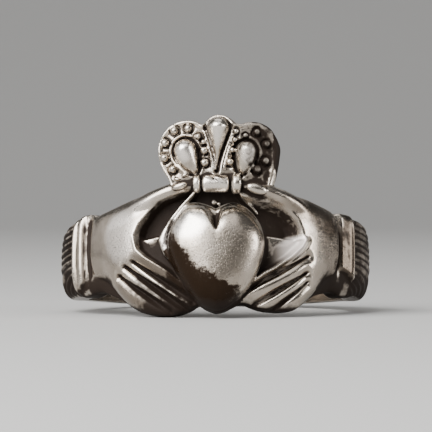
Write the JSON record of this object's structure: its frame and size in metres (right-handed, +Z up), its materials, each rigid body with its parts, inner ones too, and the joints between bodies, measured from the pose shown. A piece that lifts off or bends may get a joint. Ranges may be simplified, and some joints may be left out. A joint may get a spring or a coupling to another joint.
{
  "type": "claddagh ring",
  "caption": "Cast silver finger ring: two cuffed hands hold a domed heart under a beaded crown, on a plain tapering band",
  "frame": {"origin": "middle of the footprint on the surface that the ring lies on", "axes": "+Z up, -Y the way the heart faces, +X to the right of one who looks at the heart"},
  "size_m": [0.0218, 0.0226, 0.0137],
  "materials": {
    "silver": "cast sterling silver, worn and tarnished, dark in its recesses and satin on its high places"
  },
  "bodies": {
    "root": {"ring": "silver"}
  },
  "joints": []
}
